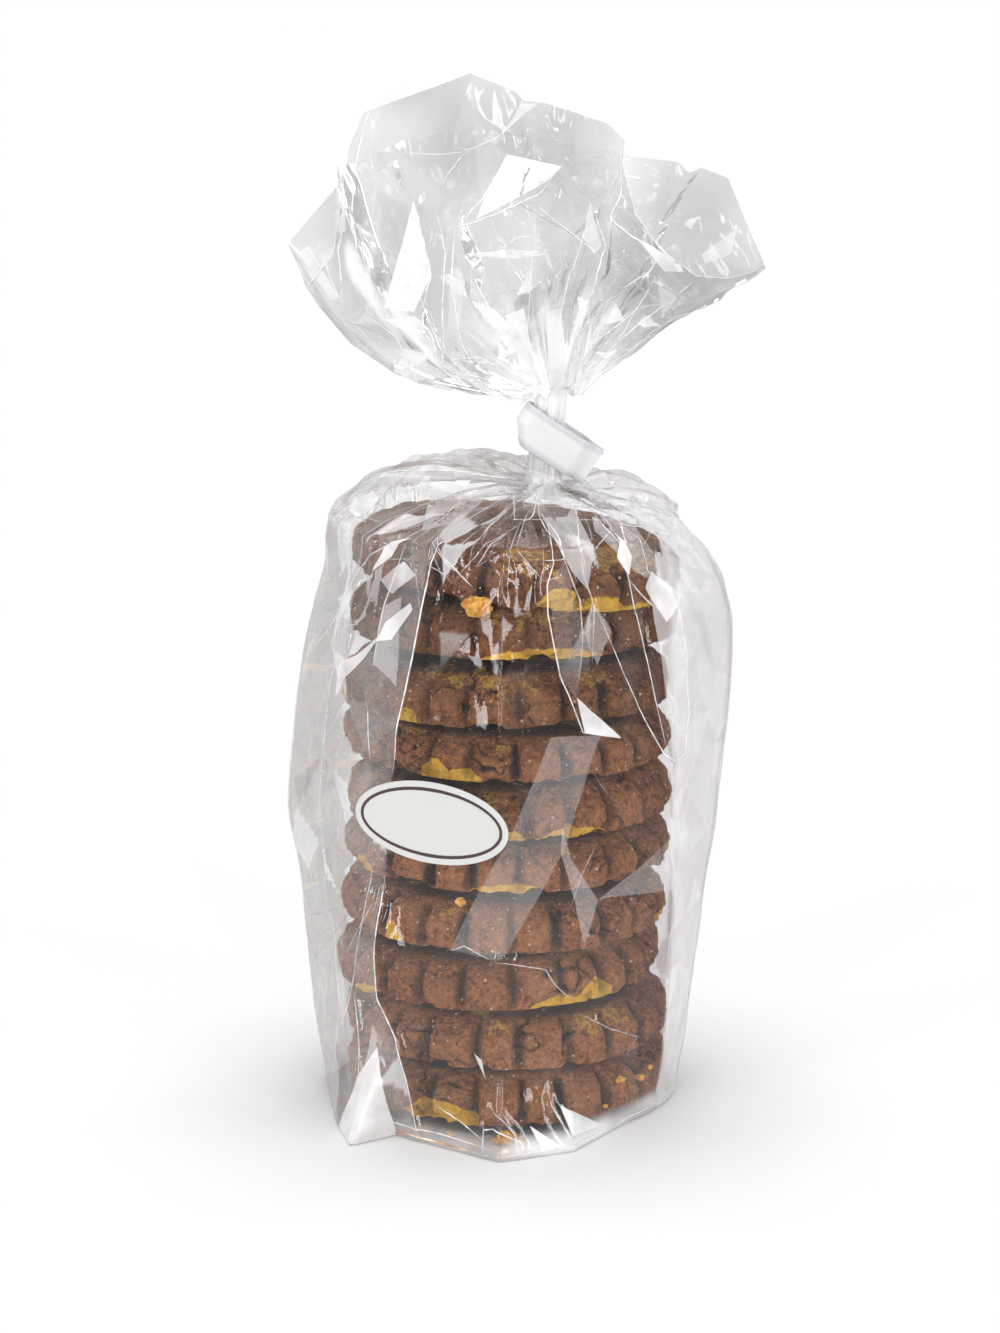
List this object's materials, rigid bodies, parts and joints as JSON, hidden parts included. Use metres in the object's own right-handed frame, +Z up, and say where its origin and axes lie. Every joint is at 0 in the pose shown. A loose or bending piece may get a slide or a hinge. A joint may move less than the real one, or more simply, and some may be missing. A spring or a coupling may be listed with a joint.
{
  "type": "bag of chocolate cookies",
  "caption": "Stack of round chocolate cookies in a clear film bag that stands on its base, gathered and clipped above the stack, with the spare film fanning out on top and an oval label.",
  "frame": {"origin": "centre of the flat base, on the axis of the stack of cookies, at floor level", "axes": "+Z up along the stack, -Y towards the side the picture shows, +X to the right in the picture"},
  "size_m": [0.1046, 0.0935, 0.229],
  "materials": {
    "film": "clear glossy film over chocolate cookies",
    "band": "satin white strip",
    "label": "bare smooth white paper"
  },
  "bodies": {
    "root": {"bag": "film", "clip_band": "band", "label": "label"}
  },
  "joints": []
}
